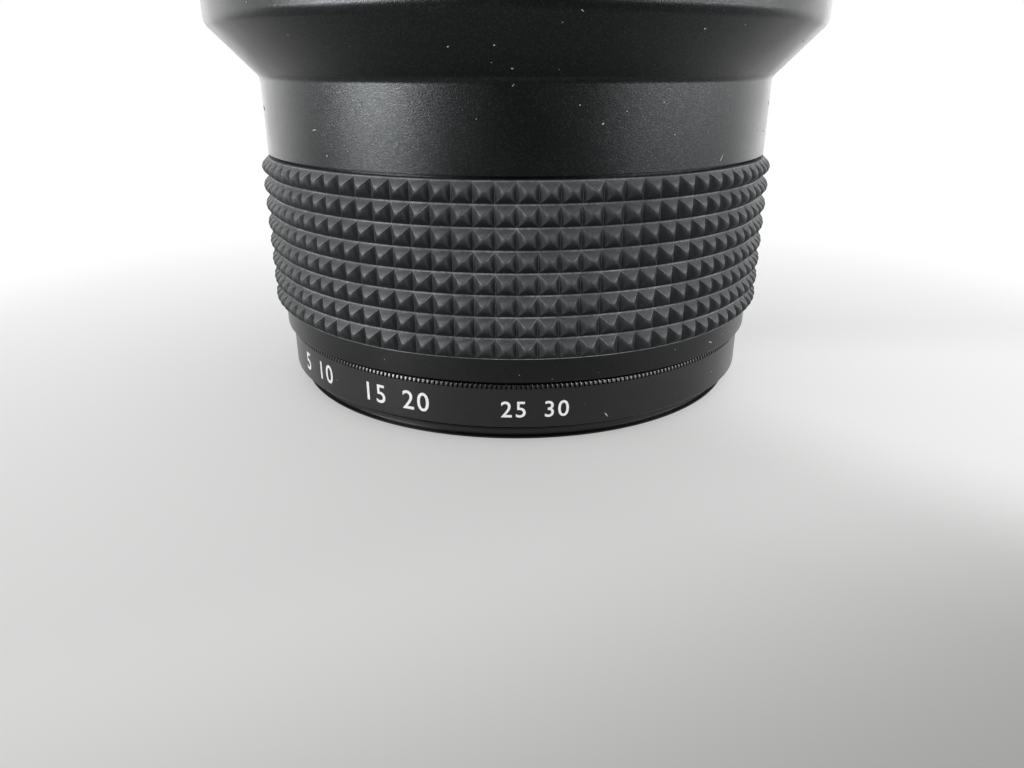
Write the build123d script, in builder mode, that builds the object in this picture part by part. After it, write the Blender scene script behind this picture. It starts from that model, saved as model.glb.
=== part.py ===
"""Wide-angle conversion lens, standing front up on the screw-in filter fitted to its rear thread.

The optical axis is Z and the table is at Z = 0. All sizes are in millimetres.
"""

import os
from math import asin, cos, degrees, pi, sqrt, tan

from build123d import *

# Standard threads: the radius over the crests of the male rear thread, from which all other radii
# follow, the height of its ridges, and how much larger the front thread is
rear_thread_radius = 26.0
rear_thread_ridge = 0.4
rear_thread_length = 2.6
front_thread_step = 5.0
front_thread_depth = 3.8

# Running and assembly clearances
thread_clearance = 0.05
glass_clearance = 0.05
sleeve_clearance = 0.05
cement_gap = 0.02

# Screw-in filter
filter_foot_height = 1.7
filter_band_wall = 0.95
filter_lip_width = 0.75
filter_lip_thickness = 0.9
filter_glass_inset = 1.1
filter_glass_thickness = 1.6
filter_retainer_rim = 0.3
filter_retainer_width = 1.2
filter_retainer_thickness = 0.7
filter_thread_runout = 0.25
filter_edge = 0.15
filter_slot_width = 1.2
filter_slot_depth = 0.4

# Rear mount ring
collar_height = 0.5
collar_step = 0.6
flange_height = 2.4
flange_step = 1.0
mount_bore_wall = 3.05
mount_mouth_chamfer = 0.5
spigot_wall = 1.6
spigot_height = 5.05

# Main barrel
barrel_wall = 2.0
shoulder_step = 1.15
smooth_height = 7.55
cone_height = 4.95
cone_root_fillet = 0.8
cone_top_fillet = 0.6
front_spigot_wall = 1.4
front_spigot_length = 2.2
front_spigot_overhang = 0.3
front_ledge_rise = 2.0
ledge_thickness = 1.2
ledge_width = 1.5

# Rubber grip: rows of pyramid studs on a plain sleeve
grip_rows = 8
grip_columns = 92
row_pitch = 2.0
rubber_wall = 1.15
stud_height = 0.8
grip_end_gap = 0.35

# Rear glasses, cemented as a pair, and the cell that holds them
rear_shim_thickness = 0.2
cell_wall = 1.4
cell_upper_height = 5.4
cell_upper_gap = 0.2
cell_ledge_thickness = 1.6
cell_ledge_width = 1.3
cell_skirt = 1.9
cell_ledge_lead = 0.3
cell_thread_runout = 0.3
rear_glass_step = 0.55
rear_glass_land = 0.9
rear_outer_curve = 60.0
rear_cement_curve = 60.0
rear_back_curve = 160.0
rear_positive_edge = 1.2
rear_negative_thickness = 1.8
rear_retainer_thickness = 1.8

# Light baffle between the cell and the inner ledge of the barrel
baffle_wall = 3.2
baffle_groove_depth = 1.2
baffle_grooves = 4

# Second glass, hollow on both faces
second_glass_inset = 3.7
second_glass_land = 1.3
second_glass_curve = 150.0
second_glass_thickness = 2.0
second_retainer_rim = 0.9
second_retainer_thickness = 1.6
second_retainer_gap = 0.48

# Front glass, domed outside and deeply hollow inside
front_glass_step = 0.55
front_glass_land = 1.1
front_glass_curve = 120.0
front_hollow_curve = 36.0
front_hollow_land = 4.3
front_glass_thickness = 3.2
front_seat_width = 3.45
front_shim_thickness = 0.15
front_shim_inset = 0.25
front_pocket_gap = 0.2
front_thread_runout = 0.3
front_retainer_thickness = 2.2
front_retainer_slope = 0.8

# Front ring
front_ring_wall = 1.5
front_ring_edge = 0.3
front_mouth_chamfer = 0.5
dome_clearance = 0.5
lip_overhang = 1.1

# Spanner slots and grub screws
spanner_slots = 2
spanner_slot_width = 1.2
spanner_slot_depth = 0.8
screw_count = 3
screw_radius = 1.0
screw_rise = 2.55
screw_dimple_depth = 0.45
screw_socket_across_flats = 0.9
screw_socket_depth = 1.1
screw_sunk = 0.2


def sag(curve, radius):
    """Depth of a spherical face of the given curve over the given radius."""
    return curve - sqrt(curve**2 - radius**2)


def half_angle(curve, radius):
    """Half the angle that a spherical face spans, in degrees."""
    return degrees(asin(radius / curve))


# Filter radii and heights, from the table up
filter_bore = rear_thread_radius + thread_clearance
filter_band_radius = filter_bore + filter_band_wall
filter_glass_radius = rear_thread_radius - filter_glass_inset
filter_glass_bore = filter_glass_radius + glass_clearance
filter_lip_radius = filter_glass_bore - filter_lip_width
filter_retainer_bore = filter_glass_bore + filter_retainer_rim
filter_retainer_radius = filter_retainer_bore - thread_clearance
filter_retainer_opening = filter_retainer_radius - filter_retainer_width
filter_glass_top = filter_lip_thickness + filter_glass_thickness
filter_retainer_top = filter_glass_top + filter_retainer_thickness
thread_end = filter_retainer_top + filter_thread_runout
filter_top = thread_end + rear_thread_length

# Radii of the converter, from the rear thread outwards and inwards
rear_thread_core = rear_thread_radius - rear_thread_ridge
mount_bore = rear_thread_radius - mount_bore_wall
cell_radius = mount_bore - sleeve_clearance
cell_thread_bore = cell_radius - cell_wall
rear_glass_bore = cell_thread_bore - rear_glass_step
rear_glass_radius = rear_glass_bore - glass_clearance
rear_clear_radius = rear_glass_radius - rear_glass_land
spigot_radius = mount_bore + spigot_wall
barrel_bore = spigot_radius + thread_clearance
grip_seat = barrel_bore + barrel_wall
barrel_radius = grip_seat + shoulder_step
flange_radius = grip_seat + flange_step
collar_radius = rear_thread_radius + collar_step
grip_inner = grip_seat + sleeve_clearance
half_column = pi / grip_columns
stud_base = (grip_inner + rubber_wall) * cos(half_column)
stud_side = stud_base * tan(half_column)
stud_tip = stud_base + stud_height

# Heights of the converter's outside
flange_bottom = filter_top + collar_height
grip_bottom = flange_bottom + flange_height
grip_top = grip_bottom + grip_rows * row_pitch
barrel_shoulder = grip_top + grip_end_gap
cone_bottom = barrel_shoulder + smooth_height
cone_top = cone_bottom + cone_height

# Grub screws, which bear in dimples of the spigot and stay below the grip seat
screw_height = grip_bottom + screw_rise
screw_length = grip_seat - screw_sunk - (spigot_radius - screw_dimple_depth)

# Heights of the rear cell and its cemented pair
spigot_top = grip_bottom + spigot_height
cell_shoulder = spigot_top + rear_shim_thickness
cell_top = cell_shoulder + cell_upper_height
rear_land_top = cell_top - cell_ledge_thickness
rear_apex = rear_land_top + sag(rear_outer_curve, rear_clear_radius)
cement_edge = rear_land_top - rear_positive_edge
cement_apex = cement_edge - sag(rear_cement_curve, rear_glass_radius)
rear_back_apex = cement_apex - cement_gap - rear_negative_thickness
rear_land_bottom = rear_back_apex + sag(rear_back_curve, rear_clear_radius)
rear_retainer_bottom = rear_land_bottom - rear_retainer_thickness
cell_bottom = rear_retainer_bottom - cell_skirt

# Heights of the second glass, down from the front ledge
front_ledge = cone_bottom + front_ledge_rise
second_glass_radius = barrel_bore - second_glass_inset
second_bore = second_glass_radius + glass_clearance
second_retainer_bore = second_bore + second_retainer_rim
second_clear_radius = second_glass_radius - second_glass_land
second_sag = sag(second_glass_curve, second_clear_radius)
second_retainer_top = front_ledge - second_retainer_gap
second_land_top = second_retainer_top - second_retainer_thickness
second_land_bottom = second_land_top - second_glass_thickness - 2 * second_sag
ledge_bottom = second_land_bottom - ledge_thickness
ledge_opening = second_bore - ledge_width
baffle_radius = barrel_bore - sleeve_clearance
baffle_opening = baffle_radius - baffle_wall - baffle_groove_depth

# Radii and heights of the front glass, up from the front ledge
front_thread_radius = rear_thread_radius + front_thread_step
front_spigot_radius = front_thread_radius - 2 * thread_clearance
front_retainer_bore = front_spigot_radius - front_spigot_wall
front_retainer_radius = front_retainer_bore - thread_clearance
front_bore = front_retainer_bore - front_glass_step
front_glass_radius = front_bore - glass_clearance
front_clear_radius = front_glass_radius - front_glass_land
front_seat_radius = second_retainer_bore + front_seat_width
front_hollow_radius = front_seat_radius - front_hollow_land
front_bevel = front_glass_radius - front_seat_radius
front_pocket_radius = front_seat_radius + front_pocket_gap
front_flat = front_ledge + front_shim_thickness
front_hollow_apex = front_flat + sag(front_hollow_curve, front_hollow_radius)
front_apex = front_hollow_apex + front_glass_thickness
front_land = front_apex - sag(front_glass_curve, front_clear_radius)
front_retainer_top = front_land + front_retainer_thickness
front_spigot_top = front_retainer_top + front_spigot_overhang
front_shoulder = front_spigot_top - front_spigot_length

# Front ring
front_radius = front_thread_radius + front_ring_wall
front_ring_bore = front_spigot_radius + thread_clearance
lip_bottom = front_spigot_top + thread_clearance
lip_opening = front_ring_bore - lip_overhang
thread_floor = front_apex + dome_clearance
front_rim = thread_floor + front_thread_depth

os.makedirs("parts", exist_ok=True)

# Filter ring: threaded foot, plain band, and the female thread that takes the converter
with BuildPart() as filter_ring:
    with BuildSketch(Plane.XZ):
        with BuildLine():
            Polyline(
                (filter_lip_radius, 0),
                (rear_thread_radius - filter_edge, 0),
                (rear_thread_radius, filter_edge),
                (rear_thread_radius, filter_foot_height),
                (filter_band_radius - filter_edge, filter_foot_height),
                (filter_band_radius, filter_foot_height + filter_edge),
                (filter_band_radius, filter_top - filter_edge),
                (filter_band_radius - filter_edge, filter_top),
                (filter_bore, filter_top),
                (filter_bore, filter_retainer_top),
                (filter_retainer_bore, filter_retainer_top),
                (filter_retainer_bore, filter_glass_top),
                (filter_glass_bore, filter_glass_top),
                (filter_glass_bore, filter_lip_thickness),
                (filter_lip_radius, filter_lip_thickness),
                close=True,
            )
        make_face()
    revolve(axis=Axis.Z)
filter_ring.part.label = "filter_ring"
export_step(filter_ring.part, "parts/filter_ring.step")

# Filter glass: a flat disc that lies on the ring's lip
with BuildPart() as filter_glass:
    with BuildSketch(Plane.XY.offset(filter_lip_thickness)):
        Circle(filter_glass_radius)
    extrude(amount=filter_glass_thickness)
filter_glass.part.label = "filter_glass"
export_step(filter_glass.part, "parts/filter_glass.step")

# Filter retaining ring, with two spanner slots in its upper face
with BuildPart() as filter_retaining_ring:
    with BuildSketch(Plane.XY.offset(filter_glass_top)):
        Circle(filter_retainer_radius)
        Circle(filter_retainer_opening, mode=Mode.SUBTRACT)
    extrude(amount=filter_retainer_thickness)
    with BuildSketch(Plane.XY.offset(filter_retainer_top)):
        with PolarLocations(filter_retainer_radius, spanner_slots):
            Rectangle(4 * filter_retainer_width, filter_slot_width)
    extrude(amount=-filter_slot_depth, mode=Mode.SUBTRACT)
filter_retaining_ring.part.label = "filter_retaining_ring"
export_step(filter_retaining_ring.part, "parts/filter_retaining_ring.step")

# Rear mount ring: male thread, collar, flange below the grip, and the spigot inside the barrel
with BuildPart() as rear_mount_ring:
    with BuildSketch(Plane.XZ):
        with BuildLine():
            Polyline(
                (mount_bore + mount_mouth_chamfer, thread_end),
                (rear_thread_core, thread_end),
                (rear_thread_core, filter_top),
                (collar_radius, filter_top),
                (collar_radius, flange_bottom),
                (flange_radius, flange_bottom),
                (flange_radius, grip_bottom),
                (spigot_radius, grip_bottom),
                (spigot_radius, spigot_top),
                (mount_bore, spigot_top),
                (mount_bore, thread_end + mount_mouth_chamfer),
                close=True,
            )
        make_face()
    revolve(axis=Axis.Z)
    with PolarLocations(spigot_radius - screw_dimple_depth, screw_count, start_angle=90):
        with Locations(Location((0, 0, screw_height), (0, 90, 0))):
            Cylinder(
                screw_radius + thread_clearance,
                2 * screw_dimple_depth,
                align=(Align.CENTER, Align.CENTER, Align.MIN),
                mode=Mode.SUBTRACT,
            )
rear_mount_ring.part.label = "rear_mount_ring"
export_step(rear_mount_ring.part, "parts/rear_mount_ring.step")

# Main barrel: grip seat, smooth barrel, cone and front cylinder turned from one piece
with BuildPart() as main_barrel:
    with BuildSketch(Plane.XZ) as barrel_section:
        with BuildLine():
            Polyline(
                (barrel_bore, grip_bottom),
                (grip_seat, grip_bottom),
                (grip_seat, barrel_shoulder),
                (barrel_radius, barrel_shoulder),
                (barrel_radius, cone_bottom),
                (front_radius, cone_top),
                (front_radius, front_shoulder),
                (front_spigot_radius, front_shoulder),
                (front_spigot_radius, front_spigot_top),
                (front_retainer_bore, front_spigot_top),
                (front_retainer_bore, front_land - front_thread_runout),
                (front_bore, front_land - front_thread_runout),
                (front_bore, front_ledge + front_bore - front_pocket_radius),
                (front_pocket_radius, front_ledge),
                (second_retainer_bore, front_ledge),
                (second_retainer_bore, second_land_top - front_thread_runout),
                (second_bore, second_land_top - front_thread_runout),
                (second_bore, second_land_bottom),
                (ledge_opening, second_land_bottom),
                (ledge_opening, ledge_bottom),
                (barrel_bore, ledge_bottom),
                close=True,
            )
        make_face()
        cone_root = barrel_section.vertices().sort_by_distance((barrel_radius, cone_bottom))[0]
        fillet(cone_root, radius=cone_root_fillet)
        cone_edge = barrel_section.vertices().sort_by_distance((front_radius, cone_top))[0]
        fillet(cone_edge, radius=cone_top_fillet)
    revolve(axis=Axis.Z)
    with PolarLocations(spigot_radius, screw_count, start_angle=90):
        with Locations(Location((0, 0, screw_height), (0, 90, 0))):
            Cylinder(
                screw_radius + thread_clearance,
                2 * barrel_wall,
                align=(Align.CENTER, Align.CENTER, Align.MIN),
                mode=Mode.SUBTRACT,
            )
main_barrel.part.label = "main_barrel"
export_step(main_barrel.part, "parts/main_barrel.step")

# One grub screw, lying along its own Z, and the three that lock the mount ring in the barrel
with BuildPart() as grub_screw:
    Cylinder(screw_radius, screw_length, align=(Align.CENTER, Align.CENTER, Align.MIN))
    with BuildSketch(Plane.XY.offset(screw_length)):
        RegularPolygon(screw_socket_across_flats / 2, 6, major_radius=False)
    extrude(amount=-screw_socket_depth, mode=Mode.SUBTRACT)
with BuildPart() as mount_set_screws:
    with PolarLocations(spigot_radius - screw_dimple_depth, screw_count, start_angle=90):
        with Locations(Location((0, 0, screw_height), (0, 90, 0))):
            add(grub_screw.part)
mount_set_screws.part.label = "mount_set_screws"
export_step(mount_set_screws.part, "parts/mount_set_screws.step")

# Rubber grip: one column of studs is cut to shape, then repeated all the way round
with BuildPart() as stud_column:
    with BuildSketch(Plane.XZ):
        with BuildLine():
            outline = [(0, grip_bottom), (stud_base, grip_bottom)]
            for row in range(grip_rows):
                row_bottom = grip_bottom + row * row_pitch
                outline.append((stud_tip, row_bottom + row_pitch / 2))
                outline.append((stud_base, row_bottom + row_pitch))
            outline.append((0, grip_top))
            Polyline(*outline, close=True)
        make_face()
    extrude(amount=2 * stud_side, both=True)
    with BuildSketch(Plane.XY.offset(grip_bottom)):
        with BuildLine():
            Polyline((0, 0), (stud_base, stud_side), (stud_tip, 0), (stud_base, -stud_side), close=True)
        make_face()
    extrude(amount=grip_top - grip_bottom, mode=Mode.INTERSECT)
with BuildPart() as rubber_grip:
    with PolarLocations(0, grip_columns, start_angle=degrees(half_column)):
        add(stud_column.part)
    with BuildSketch(Plane.XY.offset(grip_bottom)):
        Circle(grip_inner)
    extrude(amount=grip_top - grip_bottom, mode=Mode.SUBTRACT)
rubber_grip.part.label = "rubber_grip"
export_step(rubber_grip.part, "parts/rubber_grip.step")

# Rear shim: sets the distance between the front and the rear glasses
with BuildPart() as rear_shim:
    with BuildSketch(Plane.XY.offset(spigot_top)):
        Circle(spigot_radius)
        Circle(mount_bore, mode=Mode.SUBTRACT)
    extrude(amount=rear_shim_thickness)
rear_shim.part.label = "rear_shim"
export_step(rear_shim.part, "parts/rear_shim.step")

# Rear cell: hangs from the spigot by its wider upper part and holds the cemented pair
with BuildPart() as rear_cell:
    with BuildSketch(Plane.XZ):
        with BuildLine():
            Polyline(
                (cell_thread_bore, cell_bottom),
                (cell_radius, cell_bottom),
                (cell_radius, cell_shoulder),
                (barrel_bore - cell_upper_gap, cell_shoulder),
                (barrel_bore - cell_upper_gap, cell_top),
                (rear_glass_bore - cell_ledge_width, cell_top),
                (rear_glass_bore - cell_ledge_width, rear_land_top + cell_ledge_lead),
                (rear_clear_radius, rear_land_top),
                (rear_glass_bore, rear_land_top),
                (rear_glass_bore, rear_land_bottom + cell_thread_runout),
                (cell_thread_bore, rear_land_bottom + cell_thread_runout),
                close=True,
            )
        make_face()
    revolve(axis=Axis.Z)
rear_cell.part.label = "rear_cell"
export_step(rear_cell.part, "parts/rear_cell.step")

# Rear positive glass: domed on both faces
with BuildPart() as rear_positive_element:
    with BuildSketch(Plane.XZ):
        with BuildLine():
            dome = CenterArc(
                (0, rear_apex - rear_outer_curve),
                rear_outer_curve,
                90,
                -half_angle(rear_outer_curve, rear_clear_radius),
            )
            joint_face = CenterArc(
                (0, cement_apex + rear_cement_curve),
                rear_cement_curve,
                270,
                half_angle(rear_cement_curve, rear_glass_radius),
            )
            Polyline(dome @ 1, (rear_glass_radius, rear_land_top), joint_face @ 1)
            Line(joint_face @ 0, dome @ 0)
        make_face()
    revolve(axis=Axis.Z)
rear_positive_element.part.label = "rear_positive_element"
export_step(rear_positive_element.part, "parts/rear_positive_element.step")

# Rear negative glass: hollow where it is cemented to the positive glass
with BuildPart() as rear_negative_element:
    with BuildSketch(Plane.XZ):
        with BuildLine():
            hollow = CenterArc(
                (0, cement_apex - cement_gap + rear_cement_curve),
                rear_cement_curve,
                270,
                half_angle(rear_cement_curve, rear_glass_radius),
            )
            back = CenterArc(
                (0, rear_back_apex + rear_back_curve),
                rear_back_curve,
                270,
                half_angle(rear_back_curve, rear_clear_radius),
            )
            Polyline(hollow @ 1, (rear_glass_radius, rear_land_bottom), back @ 1)
            Line(back @ 0, hollow @ 0)
        make_face()
    revolve(axis=Axis.Z)
rear_negative_element.part.label = "rear_negative_element"
export_step(rear_negative_element.part, "parts/rear_negative_element.step")

# Rear retaining ring, with its spanner slots towards the camera
with BuildPart() as rear_retaining_ring:
    with BuildSketch(Plane.XY.offset(rear_retainer_bottom)):
        Circle(cell_thread_bore - thread_clearance)
        Circle(rear_clear_radius, mode=Mode.SUBTRACT)
    extrude(amount=rear_retainer_thickness)
    with BuildSketch(Plane.XY.offset(rear_retainer_bottom)):
        with PolarLocations(cell_thread_bore, spanner_slots):
            Rectangle(4 * (cell_thread_bore - rear_clear_radius), spanner_slot_width)
    extrude(amount=spanner_slot_depth, mode=Mode.SUBTRACT)
rear_retaining_ring.part.label = "rear_retaining_ring"
export_step(rear_retaining_ring.part, "parts/rear_retaining_ring.step")

# Light baffle: a tube whose bore is stepped into sharp rings
with BuildPart() as light_baffle:
    with BuildSketch(Plane.XZ):
        with BuildLine():
            outline = [(baffle_radius, cell_top), (baffle_radius, ledge_bottom)]
            step_height = (ledge_bottom - cell_top) / baffle_grooves
            for step in range(baffle_grooves):
                step_top = ledge_bottom - step * step_height
                outline.append((baffle_opening, step_top))
                outline.append((baffle_opening + baffle_groove_depth, step_top - step_height))
            Polyline(*outline, close=True)
        make_face()
    revolve(axis=Axis.Z)
light_baffle.part.label = "light_baffle"
export_step(light_baffle.part, "parts/light_baffle.step")

# Second glass: shallow hollow on both faces
with BuildPart() as second_element:
    with BuildSketch(Plane.XZ):
        with BuildLine():
            upper = CenterArc(
                (0, second_land_top - second_sag + second_glass_curve),
                second_glass_curve,
                270,
                half_angle(second_glass_curve, second_clear_radius),
            )
            lower = CenterArc(
                (0, second_land_bottom + second_sag - second_glass_curve),
                second_glass_curve,
                90,
                -half_angle(second_glass_curve, second_clear_radius),
            )
            Polyline(
                upper @ 1,
                (second_glass_radius, second_land_top),
                (second_glass_radius, second_land_bottom),
                lower @ 1,
            )
            Line(lower @ 0, upper @ 0)
        make_face()
    revolve(axis=Axis.Z)
second_element.part.label = "second_element"
export_step(second_element.part, "parts/second_element.step")

# Retaining ring of the second glass
with BuildPart() as second_retaining_ring:
    with BuildSketch(Plane.XY.offset(second_land_top)):
        Circle(second_retainer_bore - thread_clearance)
        Circle(second_clear_radius, mode=Mode.SUBTRACT)
    extrude(amount=second_retainer_thickness)
    with BuildSketch(Plane.XY.offset(second_retainer_top)):
        with PolarLocations(second_retainer_bore, spanner_slots):
            Rectangle(3 * (second_retainer_bore - second_clear_radius), spanner_slot_width)
    extrude(amount=-spanner_slot_depth, mode=Mode.SUBTRACT)
second_retaining_ring.part.label = "second_retaining_ring"
export_step(second_retaining_ring.part, "parts/second_retaining_ring.step")

# Front shim: a thin seat between the front glass and the barrel's front ledge
with BuildPart() as front_shim:
    with BuildSketch(Plane.XY.offset(front_ledge)):
        Circle(front_seat_radius)
        Circle(second_retainer_bore + front_shim_inset, mode=Mode.SUBTRACT)
    extrude(amount=front_shim_thickness)
front_shim.part.label = "front_shim"
export_step(front_shim.part, "parts/front_shim.step")

# Front glass: domed outside, deeply hollow inside, with a bevelled back rim
with BuildPart() as front_element:
    with BuildSketch(Plane.XZ):
        with BuildLine():
            dome = CenterArc(
                (0, front_apex - front_glass_curve),
                front_glass_curve,
                90,
                -half_angle(front_glass_curve, front_clear_radius),
            )
            hollow = CenterArc(
                (0, front_hollow_apex - front_hollow_curve),
                front_hollow_curve,
                90,
                -half_angle(front_hollow_curve, front_hollow_radius),
            )
            Polyline(
                dome @ 1,
                (front_glass_radius, front_land),
                (front_glass_radius, front_flat + front_bevel),
                (front_seat_radius, front_flat),
                hollow @ 1,
            )
            Line(hollow @ 0, dome @ 0)
        make_face()
    revolve(axis=Axis.Z)
front_element.part.label = "front_element"
export_step(front_element.part, "parts/front_element.step")

# Front retaining ring: its bore opens forwards, and it has two spanner slots
with BuildPart() as front_retaining_ring:
    with BuildSketch(Plane.XZ):
        with BuildLine():
            Polyline(
                (front_clear_radius, front_land),
                (front_retainer_radius, front_land),
                (front_retainer_radius, front_retainer_top),
                (front_clear_radius + front_retainer_slope, front_retainer_top),
                close=True,
            )
        make_face()
    revolve(axis=Axis.Z)
    with BuildSketch(Plane.XY.offset(front_retainer_top)):
        with PolarLocations(front_retainer_radius, spanner_slots):
            Rectangle(4 * front_glass_land, spanner_slot_width)
    extrude(amount=-spanner_slot_depth, mode=Mode.SUBTRACT)
front_retaining_ring.part.label = "front_retaining_ring"
export_step(front_retaining_ring.part, "parts/front_retaining_ring.step")

# Front ring: screws over the barrel's front spigot and carries the front thread
with BuildPart() as front_ring:
    with BuildSketch(Plane.XZ):
        with BuildLine():
            Polyline(
                (front_ring_bore, front_shoulder),
                (front_radius - front_ring_edge, front_shoulder),
                (front_radius, front_shoulder + front_ring_edge),
                (front_radius, front_rim - front_ring_edge),
                (front_radius - front_ring_edge, front_rim),
                (front_thread_radius + front_mouth_chamfer, front_rim),
                (front_thread_radius, front_rim - front_mouth_chamfer),
                (front_thread_radius, thread_floor),
                (lip_opening, thread_floor),
                (lip_opening, lip_bottom),
                (front_ring_bore, lip_bottom),
                close=True,
            )
        make_face()
    revolve(axis=Axis.Z)
front_ring.part.label = "front_ring"
export_step(front_ring.part, "parts/front_ring.step")
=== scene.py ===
"""Looks of a wide-angle conversion lens that stands front up on its screw-in filter.

Lengths are in metres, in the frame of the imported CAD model: Z is the optical axis, the table is at
Z = 0, and the photograph was taken from the -Y side.
"""

import random
from functools import cache
from math import atan2, cos, hypot, pi, radians, sin

import bmesh
import bpy
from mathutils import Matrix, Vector


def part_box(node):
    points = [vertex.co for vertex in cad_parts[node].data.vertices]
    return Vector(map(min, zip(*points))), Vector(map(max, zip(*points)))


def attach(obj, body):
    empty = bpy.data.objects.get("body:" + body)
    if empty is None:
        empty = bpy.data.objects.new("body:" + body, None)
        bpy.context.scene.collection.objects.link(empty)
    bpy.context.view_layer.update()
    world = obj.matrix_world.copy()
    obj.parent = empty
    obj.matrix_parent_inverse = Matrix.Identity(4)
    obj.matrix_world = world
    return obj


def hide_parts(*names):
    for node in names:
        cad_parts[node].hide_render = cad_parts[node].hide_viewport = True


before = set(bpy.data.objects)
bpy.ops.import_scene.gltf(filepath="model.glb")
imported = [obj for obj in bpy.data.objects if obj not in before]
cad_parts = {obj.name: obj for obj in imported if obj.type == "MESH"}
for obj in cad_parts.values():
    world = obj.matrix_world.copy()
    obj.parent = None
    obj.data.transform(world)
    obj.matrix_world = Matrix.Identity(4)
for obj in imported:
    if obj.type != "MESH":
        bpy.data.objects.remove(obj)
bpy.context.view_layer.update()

bl_info = {
    "name": "Wide-angle conversion lens",
    "version": (1, 0, 0),
    "blender": (4, 5, 0),
    "location": "View3D > Sidebar > Lens",
    "description": "Models the finished surfaces of a conversion lens round its CAD frame",
    "category": "Add Mesh",
}

MM = 0.001
SAME_PLACE = 0.001 * MM
ORIGIN = (0, 0, 0)
WHITE = (1.0, 1.0, 1.0, 1.0)


def outer_radius(node):
    """Largest radius of a turned CAD node."""
    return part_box(node)[1].x


def bottom(node):
    """Lowest height of a CAD node."""
    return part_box(node)[0].z


def top(node):
    """Highest height of a CAD node."""
    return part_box(node)[1].z


# The gap between turned pieces, small roundings, and the least length that counts as a step
RUNNING_GAP = 0.05 * MM
FINE_ROUNDING = 0.05 * MM
SMALL_ROUNDING = 0.08 * MM
HAIR = 0.01 * MM


def bore_for(node):
    """Radius of the bore that a CAD node sits in."""
    return outer_radius(node) + RUNNING_GAP


# Filter ring
BAND_RADIUS = outer_radius("filter_ring")
FILTER_TOP = top("filter_ring")
THREAD_CREST = 26.0 * MM
THREAD_ROOT = 25.6 * MM
FOOT_HEIGHT = 1.7 * MM
FOOT_COLLAR = 0.2 * MM
FOOT_THREAD = (0.24 * MM, FOOT_HEIGHT - 0.02 * MM)
BAND_ROUNDING = 0.15 * MM
FILTER_BORE = THREAD_CREST + RUNNING_GAP
PANE_BORE = bore_for("filter_glass")
RETAINER_BORE = bore_for("filter_retaining_ring")
LIP_RADIUS = PANE_BORE - 0.75 * MM

# Rear mount ring
FLANGE_RADIUS = outer_radius("rear_mount_ring")
FLANGE_BOTTOM = FILTER_TOP + 0.5 * MM
COLLAR_RADIUS = 26.6 * MM
SPIGOT_RADIUS = outer_radius("rear_shim")
MOUNT_BORE = SPIGOT_RADIUS - 1.6 * MM
MOUNT_CHAMFER = 0.5 * MM
REAR_THREAD = (bottom("rear_mount_ring") + 0.1 * MM, FILTER_TOP - 0.1 * MM)

# Main barrel
BARREL_BORE = SPIGOT_RADIUS + RUNNING_GAP
GRIP_SEAT = BARREL_BORE + 2.0 * MM
BARREL_RADIUS = GRIP_SEAT + 1.15 * MM
FRONT_RADIUS = outer_radius("main_barrel")
GRIP_BOTTOM = bottom("rubber_grip")
GRIP_TOP = top("rubber_grip")
SHOULDER = GRIP_TOP + 0.35 * MM
CONE_BOTTOM = SHOULDER + 7.55 * MM
CONE_TOP = CONE_BOTTOM + 4.95 * MM
CONE_FOOT_ROUNDING = 0.34 * MM
CONE_RIM_ROUNDING = 0.5 * MM
FRONT_SHOULDER = bottom("front_ring")
SPIGOT_TOP = top("main_barrel")
RETAINER_THREAD = bore_for("front_retaining_ring")
THREAD_RUNOUT = 0.3 * MM
FRONT_BORE = bore_for("front_element")
FRONT_LAND = bottom("front_retaining_ring")
LEDGE = bottom("front_shim")
POCKET_RADIUS = outer_radius("front_shim") + 0.2 * MM
SECOND_THREAD = bore_for("second_retaining_ring")
SECOND_BORE = bore_for("second_element")
SECOND_LAND = bottom("second_retaining_ring")
SECOND_SEAT = top("light_baffle") + 1.2 * MM
LEDGE_OPENING = SECOND_BORE - 1.5 * MM

# Front ring
FRONT_THREAD = 31.0 * MM
FRONT_THREAD_DEPTH = 0.4 * MM
FRONT_SPIGOT = FRONT_THREAD - 0.1 * MM
FRONT_LIP = FRONT_SPIGOT - 1.05 * MM
FRONT_RIM = top("front_ring")
RIM_CHAMFER = 0.5 * MM
RIM_ROUNDING = 0.3 * MM
THREAD_FLOOR = FRONT_RIM - 3.8 * MM
THREAD_RELIEF = 0.35 * MM

# Threads: half widths as shares of the pitch, and shares of the depth that are buried and faded to
HALF_ROOT = 0.44
HALF_CREST = 0.08
BURIED_SHARE = 0.1
FADED_END = 0.02

# Rubber grip: each step of a stud narrows it by a share of its half width and rises in millimetres
STUD_BASE = 27.784 * MM
STUD_STEPS = ((0.30, 0.31), (0.30, 0.31), (0.18, 0.12), (0.13, 0.04))
RIDGE_ROUNDING = 0.025 * MM

# Knurled edge, whose teeth lean in over their upper part
KNURL_CHAMFER_DEPTH = 0.10 * MM
KNURL_CHAMFER_HEIGHT = 0.24 * MM
KNURL_RUNOUT = 0.05 * MM
KNURL_REACH = 0.25 * MM

# Painted numbers: text, degrees from the camera's direction, height in millimetres, share of size
NUMBERS = (("5 10", -52.0, 2.9, 1.2), ("15 20", -26.5, 2.75, 1.16), ("25 30", 3.8, 2.8, 0.98))
DIGIT_SHARE = 0.73
DIGIT_ADVANCE = 0.80
STROKE_WIDENING = 0.008
PAINT_THICKNESS = 0.02 * MM

# Glasses: where their ground edges begin, and how far the blackening lies inside them
FRONT_CLEAR = 27.8 * MM
FRONT_HOLLOW = 21.0 * MM
EDGE_LAND = 0.9 * MM
CELL_LIP = 1.6 * MM
BLACKENING = (0.02, 0.04)

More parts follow.
